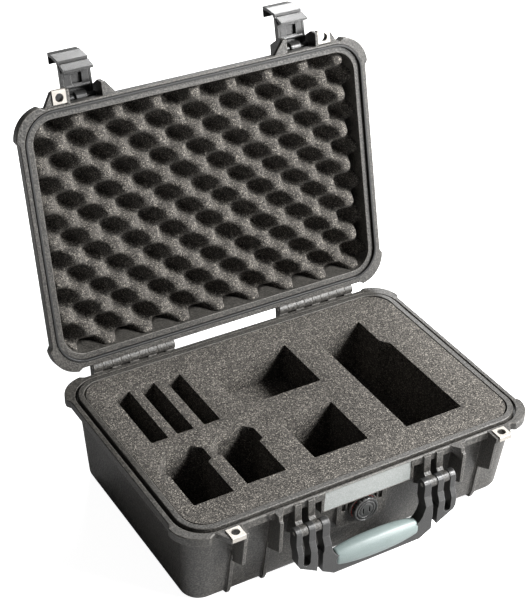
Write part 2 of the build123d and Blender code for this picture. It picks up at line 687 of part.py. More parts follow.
# ============================= LID ==========================================
with BuildPart() as lid_shut:
    with BuildSketch(Plane.XY.offset(lid_rim_z)):
        rim_outline()
    extrude(amount=lid_rim_height)
    chamfer(faces().sort_by(Axis.Z)[0].edges(), 0.9)
    with BuildSketch(Plane.XY.offset(lid_body_z)):
        RectangleRounded(tub_top_width, tub_top_depth, tub_corner_radius)
    with BuildSketch(Plane.XY.offset(lid_top_height)):
        RectangleRounded(tub_top_width - 2 * lid_draft, tub_top_depth - 2 * lid_draft, tub_corner_radius - 2)
    loft()
    fillet(faces().sort_by(Axis.Z)[-1].edges(), lid_edge_round)
    # strips over the top that meet the runners of a case stacked above
    with BuildSketch(Plane.XY.offset(lid_top_height - 1)):
        with Locations(*[(side * x, 0) for side in (-1, 1) for x in strip_x]):
            RectangleRounded(14, mouth_depth - 48, 4)
    extrude(amount=2.2)
    fillet(faces().sort_by(Axis.Z)[-1].edges(), 0.9)
    for side in (-1, 1):
        # fins either side of the latch bay
        for x in (bay_centre_x - bay_width / 2 - fin_thickness / 2, bay_centre_x + bay_width / 2 + fin_thickness / 2):
            slab(
                side * x,
                fin_thickness,
                [
                    (-lid_wall_y(seam_height + 15) + 3, lid_plate_face),
                    (lug_front_y, lid_plate_face),
                    (fin_front_y, seam_height + 13),
                    (-rim_front - 6, seam_height + 36),
                    (-lid_wall_y(seam_height + 37), seam_height + 37),
                    (-lid_wall_y(seam_height + 37) + 3, seam_height + 37),
                ],
            )
        # brace on the inner fin
        brace_x = bay_centre_x - bay_width / 2
        with BuildSketch(Plane.XY.offset(lid_plate_face)):
            Polygon(
                (side * brace_x, -rim_front + 2),
                (side * brace_x, lug_front_y),
                (side * (brace_x - 5), lug_front_y),
                (side * (brace_x - 19), -rim_front + 2),
                align=None,
            )
        extrude(amount=5)
        # padlock lug
        with BuildSketch(Plane.XY.offset(lid_plate_face + plate_thickness)):
            Polygon(
                (side * lug_tip_x, -rim_front + 2),
                (side * (lug_hole_x + plate_width / 2 + 0.6), lug_front_y),
                (side * (bay_centre_x + bay_width / 2), lug_front_y),
                (side * (bay_centre_x + bay_width / 2), -rim_front + 2),
                align=None,
            )
        extrude(amount=lug_thickness)
        with BuildSketch(Plane.XY.offset(lid_plate_face - 5)):
            with Locations((side * lug_hole_x, lug_hole_y)):
                Circle(lug_hole_radius)
        extrude(amount=20, mode=Mode.SUBTRACT)
        with BuildSketch(Plane.XY.offset(lid_plate_face - 1)):
            with Locations((side * lug_hole_x, lug_hole_y)):
                Rectangle(plate_width + 0.2, 2 * (lug_hole_y - lug_front_y) + 6)
        extrude(amount=1 + plate_thickness, mode=Mode.SUBTRACT)
        barrel(side * bay_centre_x, bay_width + 2 * fin_thickness, latch_pivot_y, latch_pivot_z, latch_pin_radius + running_clearance, Mode.SUBTRACT)
        for x, on_tub in hinge_slots(side * hinge_centre_x):
            if on_tub:
                barrel(x, knuckle_pitch + knuckle_gap, hinge_y, hinge_z, knuckle_radius + swing_clearance, Mode.SUBTRACT)
            else:
                barrel(x, knuckle_pitch - knuckle_gap, hinge_y, hinge_z, knuckle_radius)
                slab(
                    x,
                    knuckle_pitch - knuckle_gap,
                    [
                        (lid_wall_y(seam_height + 15) - 2.5, lid_rim_z + 1),
                        (hinge_y - 4.5, lid_rim_z + 0.6),
                        (hinge_y, hinge_z - knuckle_radius + 1.5),
                        (hinge_y + knuckle_radius, hinge_z + 0.5),
                        (hinge_y + 4, seam_height + 17),
                        (lid_wall_y(seam_height + 31), seam_height + 31),
                        (lid_wall_y(seam_height + 31) - 2.5, seam_height + 31),
                    ],
                )
                barrel(x, knuckle_pitch, hinge_y, hinge_z, hinge_pin_radius + running_clearance, Mode.SUBTRACT)
    # step that clears the tub's lip, groove for the seal, cavity
    with BuildSketch(Plane.XY.offset(lid_rim_z)):
        mouth_ring(groove_offset - groove_width / 2 + 0.4)
    extrude(amount=lid_mouth_z - lid_rim_z, mode=Mode.SUBTRACT)
    with BuildSketch(Plane.XY.offset(lid_rim_z)):
        mouth_ring(groove_offset + groove_width / 2)
        mouth_ring(groove_offset - groove_width / 2, Mode.SUBTRACT)
    extrude(amount=4.2, mode=Mode.SUBTRACT)
    with BuildSketch(Plane.XY.offset(lid_mouth_z)):
        RectangleRounded(mouth_width, mouth_depth, mouth_radius)
    with BuildSketch(Plane.XY.offset(lid_cavity_top)):
        RectangleRounded(mouth_width - 2 * lid_draft, mouth_depth - 2 * lid_draft, mouth_radius - 2)
    loft(mode=Mode.SUBTRACT)

with BuildPart() as lid_shell:
    with Locations(lid_open_place):
        add(lid_shut.part)
save(lid_shell.part, "lid_shell")

with BuildPart() as seal_shut:
    with BuildSketch(Plane.XY.offset(seam_height - seam_gap / 2 - seal_drop)):
        mouth_ring(groove_offset + seal_width / 2)
        mouth_ring(groove_offset - seal_width / 2, Mode.SUBTRACT)
    extrude(amount=seal_drop + seam_gap + 3.9)
    fillet(faces().sort_by(Axis.Z)[0].edges(), 0.9)
with BuildPart() as lid_seal:
    with Locations(lid_open_place):
        add(seal_shut.part)
save(lid_seal.part, "lid_seal")

with BuildPart() as foam_shut:
    foam_ends = []
    for z in (lid_foam_face, lid_cavity_top - pad_clearance):
        with BuildSketch(Plane.XY.offset(z)) as foam_end:
            RectangleRounded(
                between(mouth_width, mouth_width - 2 * lid_draft, lid_mouth_z, lid_cavity_top, z) - 2 * foam_gap,
                between(mouth_depth, mouth_depth - 2 * lid_draft, lid_mouth_z, lid_cavity_top, z) - 2 * foam_gap,
                mouth_radius,
            )
        foam_ends.append(foam_end.sketch)
    loft(foam_ends)
with BuildPart() as lid_foam:
    with Locations(lid_open_place):
        add(foam_shut.part)
save(lid_foam.part, "lid_foam")

for side, word in ((-1, "left"), (1, "right")):
    with BuildPart() as plate_shut:
        with BuildSketch(Plane.XY.offset(lid_plate_face)):
            with Locations((side * lug_hole_x, lug_hole_y - 0.1)):
                Rectangle(plate_width, 2 * (lug_hole_y - lug_front_y) + 0.2)
        extrude(amount=plate_thickness)
        with BuildSketch(Plane.XY.offset(lid_plate_face)):
            with Locations((side * lug_hole_x, lug_front_y - plate_thickness / 2 - 0.15)):
                Rectangle(plate_width, plate_thickness)
        extrude(amount=plate_lip)
        with BuildSketch(Plane.XY.offset(lid_plate_face)):
            with Locations((side * lug_hole_x, lug_hole_y)):
                Circle(lug_hole_radius)
        extrude(amount=5, mode=Mode.SUBTRACT)
    with BuildPart() as lid_padlock_plate:
        with Locations(lid_open_place):
            add(plate_shut.part)
    save(lid_padlock_plate.part, f"lid_padlock_plate_{word}")

    with BuildPart() as pin_shut:
        barrel(side * bay_centre_x, bay_width + 2 * fin_thickness - 0.6, latch_pivot_y, latch_pivot_z, latch_pin_radius)
        chamfer(edges().filter_by(GeomType.CIRCLE), 0.3)
    with BuildPart() as latch_pin:
        with Locations(lid_open_place):
            add(pin_shut.part)
    save(latch_pin.part, f"latch_pin_{word}")

    # ========================= LATCH ========================================
    centre = side * bay_centre_x
    rib_x = (latch_width - lever_rib) / 2
    with BuildPart() as lever_shut:
        barrel(centre, latch_width, latch_pivot_y, latch_pivot_z, latch_barrel_radius)
        barrel(centre, latch_boss_width, latch_pivot_y, latch_pivot_z, latch_boss_radius)
        # side ribs
        for offset in (-rib_x, rib_x):
            slab(
                centre + offset,
                lever_rib,
                [
                    (lever_inner_y, latch_pivot_z - 3),
                    (lever_inner_y, lever_foot_z + 14),
                    (lever_cover_y, lever_foot_z + 4),
                    (lever_outer_y, lever_foot_z + 2),
                    (lever_outer_y, latch_pivot_z - 3),
                    (latch_pivot_y - 3, latch_pivot_z + 3.2),
                    (latch_pivot_y, latch_pivot_z),
                ],
            )
        # cover, pull tab and its turned-up lip
        slab(
            centre,
            latch_width,
            [
                (lever_cover_y, latch_pivot_z - 1),
                (lever_cover_y, lever_foot_z),
                (lever_outer_y - 2, lever_foot_z - 1.5),
                (lever_outer_y - tab_reach * 0.55, lever_foot_z - 5),
                (lever_outer_y - tab_reach, lever_foot_z - 5.5),
                (lever_outer_y - tab_reach - tab_thickness, lever_foot_z - 3),
                (lever_outer_y - tab_reach - tab_thickness + 0.8, lever_foot_z + tab_lip - 4),
                (lever_outer_y - tab_reach + 1.0, lever_foot_z + tab_lip - 4),
                (lever_outer_y - tab_reach + 0.8, lever_foot_z - 2),
                (lever_outer_y - tab_reach * 0.55, lever_foot_z - 1.6),
                (lever_outer_y - 1.5, lever_foot_z + 2),
                (lever_outer_y, lever_foot_z + 6),
                (lever_outer_y, latch_pivot_z - 3),
                (latch_pivot_y - 3.2, latch_pivot_z + 3.2),
                (latch_pivot_y - 3.2, latch_pivot_z - 1),
            ],
        )
        # rounded corners of the tab, seen from below
        with BuildSketch(Plane.XY.offset(lever_foot_z - 10)):
            with Locations((centre, lever_outer_y - tab_reach / 2)):
                Rectangle(latch_width + 2, tab_reach + 10)
            with Locations((centre, lever_outer_y - tab_reach / 2 + 6)):
                RectangleRounded(latch_width, tab_reach + 18.4, 7.5, mode=Mode.SUBTRACT)
        extrude(amount=30, mode=Mode.SUBTRACT)
        barrel(centre, latch_width + 2, latch_pivot_y, latch_pivot_z, latch_pin_radius + running_clearance, Mode.SUBTRACT)
        barrel(centre, latch_width + 2, hook_pivot_y, hook_pivot_z, hook_pin_radius + running_clearance, Mode.SUBTRACT)
        # two ribs on the outer face for grip
        with BuildSketch(Plane.XZ.offset(-lever_outer_y - 0.4)):
            with Locations((centre, lever_foot_z + 13), (centre, lever_foot_z + 19), (centre, lever_foot_z + 25)):
                SlotOverall(26, 2.2)
        extrude(amount=1.1)
    with BuildPart() as latch_lever:
        with Locations(latch_open_place):
            add(lever_shut.part)
    save(latch_lever.part, f"latch_lever_{word}")

    inner_width = latch_width - 2 * lever_rib - 2 * hook_play
    ledge_z = tub_rim_z - hook_catch_gap
    with BuildPart() as hook_shut:
        barrel(centre, inner_width, hook_pivot_y, hook_pivot_z, hook_barrel_radius)
        slab(
            centre,
            inner_width,
            [
                (hook_pivot_y + 1.4, hook_pivot_z),
                (hook_pivot_y + 1.4, ledge_z - 5),
                (hook_pivot_y - 1.6, ledge_z - 6),
                (hook_pivot_y - 1.6, hook_pivot_z),
            ],
        )
        # ledge that catches under the tub's rim
        slab(
            centre,
            latch_width - 0.4,
            [
                (-rim_front + 7.2, ledge_z),
                (-rim_front + 7.2, ledge_z - 3.0),
                (hook_pivot_y + 0.2, ledge_z - 8.2),
                (hook_pivot_y + 1.9, ledge_z - 3.4),
            ],
        )
        # window between the hook's two legs
        with BuildSketch(Plane.XZ.offset(rim_front - 5)):
            with Locations((centre, (hook_pivot_z + ledge_z) / 2 + 0.5)):
                RectangleRounded(13, 12, 0.8)
        extrude(amount=20, mode=Mode.SUBTRACT)
        barrel(centre, latch_width, hook_pivot_y, hook_pivot_z, hook_pin_radius + running_clearance, Mode.SUBTRACT)
    with BuildPart() as latch_hook:
        with Locations(latch_open_place):
            add(hook_shut.part)
    save(latch_hook.part, f"latch_hook_{word}")

    with BuildPart() as hook_pin_shut:
        barrel(centre, latch_width - 0.6, hook_pivot_y, hook_pivot_z, hook_pin_radius)
    with BuildPart() as latch_hook_pin:
        with Locations(latch_open_place):
            add(hook_pin_shut.part)
    save(latch_hook_pin.part, f"latch_hook_pin_{word}")
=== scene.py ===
import json
import math

import bmesh
import bpy
from mathutils import Matrix, Vector


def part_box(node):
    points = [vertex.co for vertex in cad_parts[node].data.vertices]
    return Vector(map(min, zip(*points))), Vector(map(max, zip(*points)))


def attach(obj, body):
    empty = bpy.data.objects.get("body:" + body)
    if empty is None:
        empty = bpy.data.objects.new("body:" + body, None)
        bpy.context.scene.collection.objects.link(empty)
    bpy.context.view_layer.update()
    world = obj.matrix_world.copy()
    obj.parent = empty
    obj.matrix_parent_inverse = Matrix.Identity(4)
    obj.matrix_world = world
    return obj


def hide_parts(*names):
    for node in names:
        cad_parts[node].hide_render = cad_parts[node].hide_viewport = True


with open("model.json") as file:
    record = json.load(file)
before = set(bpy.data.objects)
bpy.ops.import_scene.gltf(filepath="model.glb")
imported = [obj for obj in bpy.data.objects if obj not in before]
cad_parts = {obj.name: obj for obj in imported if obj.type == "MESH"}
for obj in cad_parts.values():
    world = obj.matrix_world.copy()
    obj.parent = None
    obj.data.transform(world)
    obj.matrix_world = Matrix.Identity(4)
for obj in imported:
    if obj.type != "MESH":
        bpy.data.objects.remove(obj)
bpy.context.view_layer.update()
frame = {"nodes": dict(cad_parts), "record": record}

# A foam-fitted carry case: finishes, foam, hand grip, floor, lights and camera round the
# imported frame. Lengths are in metres.

MM = 0.001
FLOAT = "NodeSocketFloat"

record = frame["record"]
nodes = frame["nodes"]
joints = {joint["name"]: joint for joint in record["behaviour"]["joints"]}

# The lid is stored open. These two places turn shut-lid measurements into stored ones, and back.
hinge_point = Vector(joints["lid_hinge"]["pos_m"])
open_angle = math.radians(joints["lid_hinge"]["range_deg"][1])
lid_place = (
    Matrix.Translation(hinge_point)
    @ Matrix.Rotation(-open_angle, 4, "X")
    @ Matrix.Translation(-hinge_point)
)
shut_place = lid_place.inverted()


# ---------------------------------------------------------------- node writing
def give(tree, socket, value):
    """Wires a socket from another one, or sets its plain value."""
    if isinstance(value, bpy.types.NodeSocket):
        tree.links.new(value, socket)
    else:
        socket.default_value = value


def feed(tree, node, **inputs):
    """Fills a node's inputs by name. Underscores stand for the spaces in the names."""
    for name, value in inputs.items():
        give(tree, node.inputs[name.replace("_", " ")], value)
    return node


def calculate(tree, operation, first, second=0.0, clamp=False):
    """The result of one Math node; values may be numbers or sockets."""
    node = tree.nodes.new("ShaderNodeMath")
    node.operation = operation
    node.use_clamp = clamp
    give(tree, node.inputs[0], first)
    give(tree, node.inputs[1], second)
    return node.outputs[0]


def weighed_sum(tree, first, first_share, second, second_share):
    """Two values added, each by its own share."""
    return calculate(
        tree,
        "ADD",
        calculate(tree, "MULTIPLY", first, first_share),
        calculate(tree, "MULTIPLY", second, second_share),
    )


def spread(tree, value, low, high, new_low=0.0, new_high=1.0):
    """A value moved from one range to another, and held inside it."""
    node = tree.nodes.new("ShaderNodeMapRange")
    node.clamp = True
    feed(tree, node, Value=value, From_Min=low, From_Max=high, To_Min=new_low, To_Max=new_high)
    return node.outputs[0]


def blend_colour(tree, amount, first, second):
    """Two colours mixed by a mask. Each is a socket, or red, green and blue."""
    node = tree.nodes.new("ShaderNodeMix")
    node.data_type = "RGBA"
    give(tree, node.inputs[0], amount)
    for socket, colour in ((node.inputs[6], first), (node.inputs[7], second)):
        given_plain = isinstance(colour, tuple)
        give(tree, socket, (*colour, 1.0) if given_plain else colour)
    return node.outputs[2]


def darker(colour, share):
    """The same colour with each part cut to a share."""
    return tuple(share * part for part in colour)


def place_on_piece(tree):
    """Object coordinates, which stay fixed on the piece."""
    return tree.nodes.new("ShaderNodeTexCoord").outputs["Object"]


def noise(tree, place, scale, detail, roughness=0.5):
    """A Noise Texture over the piece; output 0 is its value."""
    node = tree.nodes.new("ShaderNodeTexNoise")
    return feed(tree, node, Vector=place, Scale=scale, Detail=detail, Roughness=roughness)


def cell_pattern(tree, place, scale):
    """Irregular cells over the piece, with a distance and a colour for each."""
    return feed(tree, tree.nodes.new("ShaderNodeTexVoronoi"), Vector=place, Scale=scale)


# ------------------------------------------------------------- shared textures
def new_group(name, inputs, outputs):
    """An empty shader group with named inputs, their usual values, and named outputs."""
    group = bpy.data.node_groups.new(name, "ShaderNodeTree")
    for title, usual in inputs.items():
        socket = group.interface.new_socket(title, in_out="INPUT", socket_type=FLOAT)
        socket.default_value = usual
    for title in outputs:
        group.interface.new_socket(title, in_out="OUTPUT", socket_type=FLOAT)
    given = group.nodes.new("NodeGroupInput").outputs
    result = group.nodes.new("NodeGroupOutput")
    return group, given, result


def make_moulded_grain():
    """Pebbled mould texture: a height, a patchy tone, and pale flecks on the high pebbles that are
    a painted highlight on the pebble tops.
    """
    group, given, result = new_group(
        "moulded_grain",
        {"Pebbles per metre": 900.0, "Patch per metre": 14.0},
        ("Height", "Patch", "Fleck"),
    )
    place = place_on_piece(group)
    pebbles_per_metre = given["Pebbles per metre"]
    pebbles = noise(group, place, pebbles_per_metre, 2.0, 0.6)
    cells = cell_pattern(group, place, calculate(group, "MULTIPLY", pebbles_per_metre, 0.8))
    patch = noise(group, place, given["Patch per metre"], 5.0, 0.62)
    feed(
        group,
        result,
        Height=weighed_sum(group, pebbles.outputs[0], 0.6, cells.outputs["Distance"], 0.55),
        Patch=spread(group, patch.outputs[0], 0.3, 0.7),
        Fleck=spread(group, pebbles.outputs[0], 0.42, 0.66),
    )
    return group


def make_foam_cells():
    """Open-cell foam: pores darkened with painted shade, struts lightened with a painted
    highlight, and a soft patchiness.
    """
    group, given, result = new_group(
        "foam_cells",
        {"Cells per metre": 620.0, "Pore Share": 0.4, "Strut Share": 0.25},
        ("Height", "Pore", "Strut", "Patch"),
    )
    place = place_on_piece(group)
    cells_per_metre = given["Cells per metre"]
    cells = cell_pattern(group, place, cells_per_metre)
    fine = noise(group, place, calculate(group, "MULTIPLY", cells_per_metre, 1.3), 2.0, 0.7)
    patch = noise(group, place, 11.0, 4.0)
    chance = group.nodes.new("ShaderNodeSeparateColor")
    group.links.new(cells.outputs["Color"], chance.inputs[0])
    mottle = weighed_sum(group, chance.outputs[0], 0.6, fine.outputs[0], 0.4)

    # the darkest mottle is pore, painted in shade, and the palest is strut, painted as highlight;
    # the shares widen each band
    darkest = 0.2
    palest = 0.8
    band = palest - darkest
    pore_band = calculate(group, "MULTIPLY", given["Pore Share"], band)
    pore_to = calculate(group, "ADD", darkest, pore_band)
    strut_band = calculate(group, "MULTIPLY", given["Strut Share"], band)
    strut_from = calculate(group, "SUBTRACT", palest, strut_band)
    dome = calculate(group, "MULTIPLY", cells.outputs["Distance"], 0.5)
    feed(
        group,
        result,
        Height=calculate(group, "ADD", mottle, dome),
        Pore=spread(group, mottle, darkest, pore_to, 1.0, 0.0),
        Strut=spread(group, mottle, strut_from, palest),
        Patch=spread(group, patch.outputs[0], 0.3, 0.7),
    )
    return group


def make_worn_and_lit_edges():
    """Where a corner is sharp: the surface's own normal against a rounded one, broken up by a
    noise. The mask stands for edge wear and for a painted highlight along the edges.
    """
    group, given, result = new_group(
        "worn_and_lit_edges",
        {"Reach": 1.2 * MM, "Break Up": 0.5},
        ("Mask",),
    )
    rounded = group.nodes.new("ShaderNodeBevel")
    rounded.samples = 4
    group.links.new(given["Reach"], rounded.inputs["Radius"])
    surface = group.nodes.new("ShaderNodeNewGeometry")
    likeness = group.nodes.new("ShaderNodeVectorMath")
    likeness.operation = "DOT_PRODUCT"
    group.links.new(rounded.outputs[0], likeness.inputs[0])
    group.links.new(surface.outputs["Normal"], likeness.inputs[1])
    edge = spread(group, likeness.outputs["Value"], 0.995, 0.86)

    break_up_noise = noise(group, place_on_piece(group), 70.0, 6.0, 0.65)
    rubbed_and_lit = spread(group, break_up_noise.outputs[0], 0.35, 0.6)
    unrubbed_and_unlit = calculate(group, "SUBTRACT", 1.0, rubbed_and_lit)
    lost = calculate(group, "MULTIPLY", given["Break Up"], unrubbed_and_unlit)
    kept = calculate(group, "SUBTRACT", 1.0, lost)
    feed(group, result, Mask=calculate(group, "MULTIPLY", edge, kept, clamp=True))
    return group


def make_brushed_lines():
    """Fine lines along X for rolled metal, with a smeary tone."""
    group, given, result = new_group(
        "brushed_lines",
        {"Lines per metre": 4000.0},
        ("Height", "Tone"),
    )
    place = place_on_piece(group)
    stretch = group.nodes.new("ShaderNodeMapping")
    feed(group, stretch, Vector=place, Scale=(0.06, 1.0, 1.0))
    lines = noise(group, stretch.outputs[0], given["Lines per metre"], 2.0)
    smear = noise(group, place, 120.0, 3.0)
    feed(group, result, Height=lines.outputs[0], Tone=smear.outputs[0])
    return group


moulded_grain = make_moulded_grain()
foam_cells = make_foam_cells()
worn_and_lit_edges = make_worn_and_lit_edges()
brushed_lines = make_brushed_lines()


# --------------------------------------------------------------------- finishes
def start_material(name):
    """A material holding one Principled shader wired to its output."""
    material = bpy.data.materials.new(name)
    material.use_nodes = True
    tree = material.node_tree
    tree.nodes.clear()
    shader = tree.nodes.new("ShaderNodeBsdfPrincipled")
    output = tree.nodes.new("ShaderNodeOutputMaterial")
    tree.links.new(shader.outputs[0], output.inputs["Surface"])
    return material, tree, shader


def use_group(tree, group, **inputs):
    """One of the shared textures, placed with this material's own values."""
    node = tree.nodes.new("ShaderNodeGroup")
    node.node_tree = group
    return feed(tree, node, **inputs).outputs


def raise_surface(tree, shader, height, strength, depth, eased=0.0):
    """Relief from a height, over corners eased by a small radius where one is given."""
    bump = tree.nodes.new("ShaderNodeBump")
    feed(tree, bump, Height=height, Strength=strength, Distance=depth)
    if eased:
        corner = tree.nodes.new("ShaderNodeBevel")
        corner.samples = 4
        feed(tree, corner, Radius=eased)
        tree.links.new(corner.outputs[0], bump.inputs["Normal"])
    tree.links.new(bump.outputs[0], shader.inputs["Normal"])


def moulded_plastic(
    name, dark, light, worn_and_highlight, roughness, pebbles, relief, wear_and_highlight, pebble_highlight=0.35, eased=0.0
):
    """Moulded plastic or rubber with a pebbled face and patchy tone, a painted highlight on the
    pebble tops, and edges that are partly rubbed and partly given a painted highlight.
    """
    material, tree, shader = start_material(name)
    texture = use_group(tree, moulded_grain, Pebbles_per_metre=pebbles)
    edges = use_group(tree, worn_and_lit_edges, Reach=1.1 * MM, Break_Up=0.6)

    patchy = blend_colour(tree, texture["Patch"], dark, light)
    # pale flecks on the high pebbles: a painted highlight on the pebble tops
    pebble_highlight_mask = calculate(tree, "MULTIPLY", texture["Fleck"], pebble_highlight)
    highlit = blend_colour(tree, pebble_highlight_mask, patchy, worn_and_highlight)
    # sharp edges turn pale: partly edge wear, partly a painted highlight along the edges
    wear_and_highlight_mask = calculate(tree, "MULTIPLY", edges["Mask"], wear_and_highlight)
    rubbed_and_lit = blend_colour(tree, wear_and_highlight_mask, highlit, worn_and_highlight)

    unevenness = calculate(tree, "SUBTRACT", texture["Patch"], 0.5)
    sheen_shift = calculate(tree, "MULTIPLY", unevenness, 0.12)
    uneven_roughness = calculate(tree, "ADD", roughness, sheen_shift)
    feed(tree, shader, Base_Color=rubbed_and_lit, Roughness=uneven_roughness)
    raise_surface(tree, shader, texture["Height"], relief, 0.4 * MM, eased)
    return material


def cut_foam(name, pore_shade, body, strut_highlight, cells, pore_share, strut_share, relief):
    """Open-cell foam cut to shape."""
    material, tree, shader = start_material(name)
    texture = use_group(
        tree,
        foam_cells,
        Cells_per_metre=cells,
        Pore_Share=pore_share,
        Strut_Share=strut_share,
    )
    patch_mask = calculate(tree, "MULTIPLY", texture["Patch"], 0.35)
    toned = blend_colour(tree, patch_mask, body, darker(body, 0.82))
    # painted shade in the pores, then a painted highlight on the struts
    pitted = blend_colour(tree, texture["Pore"], toned, pore_shade)
    highlit = blend_colour(tree, texture["Strut"], pitted, strut_highlight)
    feed(tree, shader, Base_Color=highlit, Roughness=0.95, Specular_IOR_Level=0.25)
    raise_surface(tree, shader, texture["Height"], relief, 1.1 * MM)
    return material


def dulled_steel(name, colour, roughness):
    """Stainless sheet or bar, dulled by handling."""
    material, tree, shader = start_material(name)
    texture = use_group(tree, brushed_lines, Lines_per_metre=4000.0)
    smear_mask = spread(tree, texture["Tone"], 0.35, 0.65)
    toned = blend_colour(tree, smear_mask, colour, darker(colour, 0.86))
    smoothest = roughness - 0.06
    roughest = roughness + 0.1
    uneven_roughness = spread(tree, texture["Height"], 0.2, 0.8, smoothest, roughest)
    feed(tree, shader, Base_Color=toned, Metallic=0.55, Roughness=uneven_roughness)
    raise_surface(tree, shader, texture["Height"], 0.12, 0.1 * MM)
    return material


# The worn colours below are painted on the pebble tops and sharp edges: partly edge wear, partly a
# painted highlight. The foam's pore colour is painted shade and its strut colour a painted
# highlight.
finishes = {
    "shell": moulded_plastic(
        "shell_moulding",
        dark=(0.012, 0.0114, 0.0104),
        light=(0.027, 0.0254, 0.0228),
        worn_and_highlight=(0.19, 0.178, 0.16),
        roughness=0.46,
        pebbles=520.0,
        relief=1.0,
        wear_and_highlight=0.9,
        pebble_highlight=0.36,
        eased=1.0 * MM,
    ),
    "fittings": moulded_plastic(
        "fittings_moulding",
        dark=(0.010, 0.010, 0.010),
        light=(0.018, 0.0178, 0.0175),
        worn_and_highlight=(0.17, 0.168, 0.165),
        roughness=0.36,
        pebbles=1000.0,
        relief=0.35,
        wear_and_highlight=0.8,
        pebble_highlight=0.09,
        eased=0.9 * MM,
    ),
    "panel": moulded_plastic(
        "name_panel",
        dark=(0.17, 0.18, 0.174),
        light=(0.22, 0.232, 0.224),
        worn_and_highlight=(0.32, 0.33, 0.325),
        roughness=0.5,
        pebbles=900.0,
        relief=0.4,
        wear_and_highlight=0.2,
        pebble_highlight=0.5,
    ),
    "seal": moulded_plastic(
        "seal_rubber",
        dark=(0.004, 0.004, 0.004),
        light=(0.007, 0.007, 0.007),
        worn_and_highlight=(0.02, 0.02, 0.02),
        roughness=0.55,
        pebbles=1400.0,
        relief=0.1,
        wear_and_highlight=0.2,
    ),
    "grip": moulded_plastic(
        "grip_rubber",
        dark=(0.11, 0.142, 0.138),
        light=(0.155, 0.19, 0.184),
        worn_and_highlight=(0.26, 0.3, 0.295),
        roughness=0.42,
        pebbles=1500.0,
        relief=0.12,
        wear_and_highlight=0.2,
    ),
    "red_ring": moulded_plastic(
        "ring_rubber",
        dark=(0.42, 0.012, 0.01),
        light=(0.5, 0.02, 0.016),
        worn_and_highlight=(0.6, 0.1, 0.08),
        roughness=0.42,
        pebbles=1800.0,
        relief=0.08,
        wear_and_highlight=0.1,
    ),
    "steel": dulled_steel("stainless_sheet", colour=(0.42, 0.395, 0.36), roughness=0.38),
    "foam": cut_foam(
        "packing_foam",
        pore_shade=(0.010, 0.0095, 0.009),
        body=(0.072, 0.0665, 0.06),
        strut_highlight=(0.26, 0.24, 0.21),
        cells=900.0,
        pore_share=0.44,
        strut_share=0.22,
        relief=0.8,
    ),
}

for subpart in record["subparts"]:
    node = nodes[subpart["node"]]
    node.data.materials.clear()
    node.data.materials.append(finishes[subpart["material_slot"]])


# ---------------------------------------------------------------- making pieces
def put_in_scene(name, data):
    """A new object in the scene, at the origin."""
    thing = bpy.data.objects.new(name, data)
    bpy.context.scene.collection.objects.link(thing)
    return thing


def finished_mesh(thing):
    """An object's shape with its modifiers worked in, as a plain mesh."""
    bpy.context.view_layer.update()
    worked = thing.evaluated_get(bpy.context.evaluated_depsgraph_get())
    return bpy.data.meshes.new_from_object(worked)


def new_piece(name, mesh, finish, body, replaced):
    """Puts a finished mesh into the scene as one piece of the case."""
    piece = put_in_scene(name, mesh)
    mesh.materials.clear()
    mesh.materials.append(finish)
    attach(piece, body)
    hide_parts(replaced)


def joined_copy(node_name, name):
    """A copy of a CAD node's mesh with its triangles joined and its flat faces made whole."""
    work = bmesh.new()
    work.from_mesh(nodes[node_name].data)
    bmesh.ops.remove_doubles(work, verts=work.verts, dist=0.002 * MM)
    bmesh.ops.dissolve_limit(
        work,
        angle_limit=math.radians(0.6),
        verts=work.verts,
        edges=work.edges,
    )
    mesh = bpy.data.meshes.new(name)
    work.to_mesh(mesh)
    work.free()
    return mesh


def cut_block(node_name, name):
    """A block of foam in the tub, with softly rounded cut edges."""
    block = put_in_scene(name + "_work", joined_copy(node_name, name))
    soften = block.modifiers.new("soft_edges", "BEVEL")
    soften.width = 1.3 * MM
    soften.segments = 3
    soften.limit_method = "ANGLE"
    soften.angle_limit = math.radians(35)
    mesh = finished_mesh(block)
    bpy.data.objects.remove(block)
    mesh.shade_smooth()
    new_piece(name, mesh, finishes["foam"], "tub", node_name)


cut_block("base_foam", "pocket_foam")
cut_block("base_foam_pad", "floor_foam")


